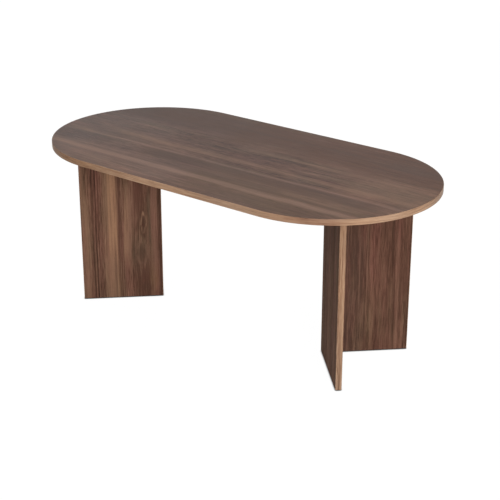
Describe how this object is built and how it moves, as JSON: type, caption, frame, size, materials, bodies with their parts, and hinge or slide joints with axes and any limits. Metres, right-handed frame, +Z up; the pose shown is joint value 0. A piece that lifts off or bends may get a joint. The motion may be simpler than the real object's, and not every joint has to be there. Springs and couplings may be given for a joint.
{
  "type": "dining table",
  "caption": "Long table with half-round ends and a walnut-patterned top on two V-shaped panel legs with levelling glides.",
  "frame": {"origin": "on the floor below the middle of the top, at the bottom centre of the table's box", "axes": "+X along the length of the top, +Y to the back, +Z up; the front of the table is its -Y side"},
  "size_m": [1.7996, 0.9, 0.75],
  "materials": {
    "walnut_top": "walnut-patterned melamine face, lightly sheened",
    "walnut_panel": "walnut-patterned melamine face, satin",
    "edge_band": "light walnut-patterned plastic edging, satin",
    "foot_band": "thin brown plastic edging",
    "zinc_casting": "plain zinc casting",
    "steel": "zinc-plated steel",
    "beech": "plain beech",
    "brown_plastic": "moulded brown plastic",
    "black_plastic": "moulded black plastic"
  },
  "bodies": {
    "table": {"top_board": "walnut_top", "top_edge_band": "edge_band", "right_front_panel": "walnut_panel", "right_back_panel": "walnut_panel", "right_front_outer_band": "edge_band", "right_front_apex_band": "edge_band", "right_back_outer_band": "edge_band", "right_front_foot_band": "foot_band", "right_back_foot_band": "foot_band", "right_top_cams": "zinc_casting", "right_top_bolts": "steel", "right_top_dowels": "beech", "right_corner_cams": "zinc_casting", "right_corner_bolts": "steel", "right_corner_dowels": "beech", "right_cam_caps": "brown_plastic", "right_glide_sleeves": "zinc_casting", "left_front_panel": "walnut_panel", "left_back_panel": "walnut_panel", "left_front_outer_band": "edge_band", "left_front_apex_band": "edge_band", "left_back_outer_band": "edge_band", "left_front_foot_band": "foot_band", "left_back_foot_band": "foot_band", "left_top_cams": "zinc_casting", "left_top_bolts": "steel", "left_top_dowels": "beech", "left_corner_cams": "zinc_casting", "left_corner_bolts": "steel", "left_corner_dowels": "beech", "left_cam_caps": "brown_plastic", "left_glide_sleeves": "zinc_casting"},
    "right_front_apex_glide": {"right_front_apex_glide_pad": "black_plastic", "right_front_apex_glide_stem": "steel"},
    "right_front_outer_glide": {"right_front_outer_glide_pad": "black_plastic", "right_front_outer_glide_stem": "steel"},
    "right_back_apex_glide": {"right_back_apex_glide_pad": "black_plastic", "right_back_apex_glide_stem": "steel"},
    "right_back_outer_glide": {"right_back_outer_glide_pad": "black_plastic", "right_back_outer_glide_stem": "steel"},
    "left_front_apex_glide": {"left_front_apex_glide_pad": "black_plastic", "left_front_apex_glide_stem": "steel"},
    "left_front_outer_glide": {"left_front_outer_glide_pad": "black_plastic", "left_front_outer_glide_stem": "steel"},
    "left_back_apex_glide": {"left_back_apex_glide_pad": "black_plastic", "left_back_apex_glide_stem": "steel"},
    "left_back_outer_glide": {"left_back_outer_glide_pad": "black_plastic", "left_back_outer_glide_stem": "steel"}
  },
  "joints": [
    {"name": "right_front_apex_glide_height", "type": "slide", "parent": "table", "child": "right_front_apex_glide", "axis": [0, 0, -1], "range_m": [0, 0.01]},
    {"name": "right_front_outer_glide_height", "type": "slide", "parent": "table", "child": "right_front_outer_glide", "axis": [0, 0, -1], "range_m": [0, 0.01]},
    {"name": "right_back_apex_glide_height", "type": "slide", "parent": "table", "child": "right_back_apex_glide", "axis": [0, 0, -1], "range_m": [0, 0.01]},
    {"name": "right_back_outer_glide_height", "type": "slide", "parent": "table", "child": "right_back_outer_glide", "axis": [0, 0, -1], "range_m": [0, 0.01]},
    {"name": "left_front_apex_glide_height", "type": "slide", "parent": "table", "child": "left_front_apex_glide", "axis": [0, 0, -1], "range_m": [0, 0.01]},
    {"name": "left_front_outer_glide_height", "type": "slide", "parent": "table", "child": "left_front_outer_glide", "axis": [0, 0, -1], "range_m": [0, 0.01]},
    {"name": "left_back_apex_glide_height", "type": "slide", "parent": "table", "child": "left_back_apex_glide", "axis": [0, 0, -1], "range_m": [0, 0.01]},
    {"name": "left_back_outer_glide_height", "type": "slide", "parent": "table", "child": "left_back_outer_glide", "axis": [0, 0, -1], "range_m": [0, 0.01]}
  ]
}
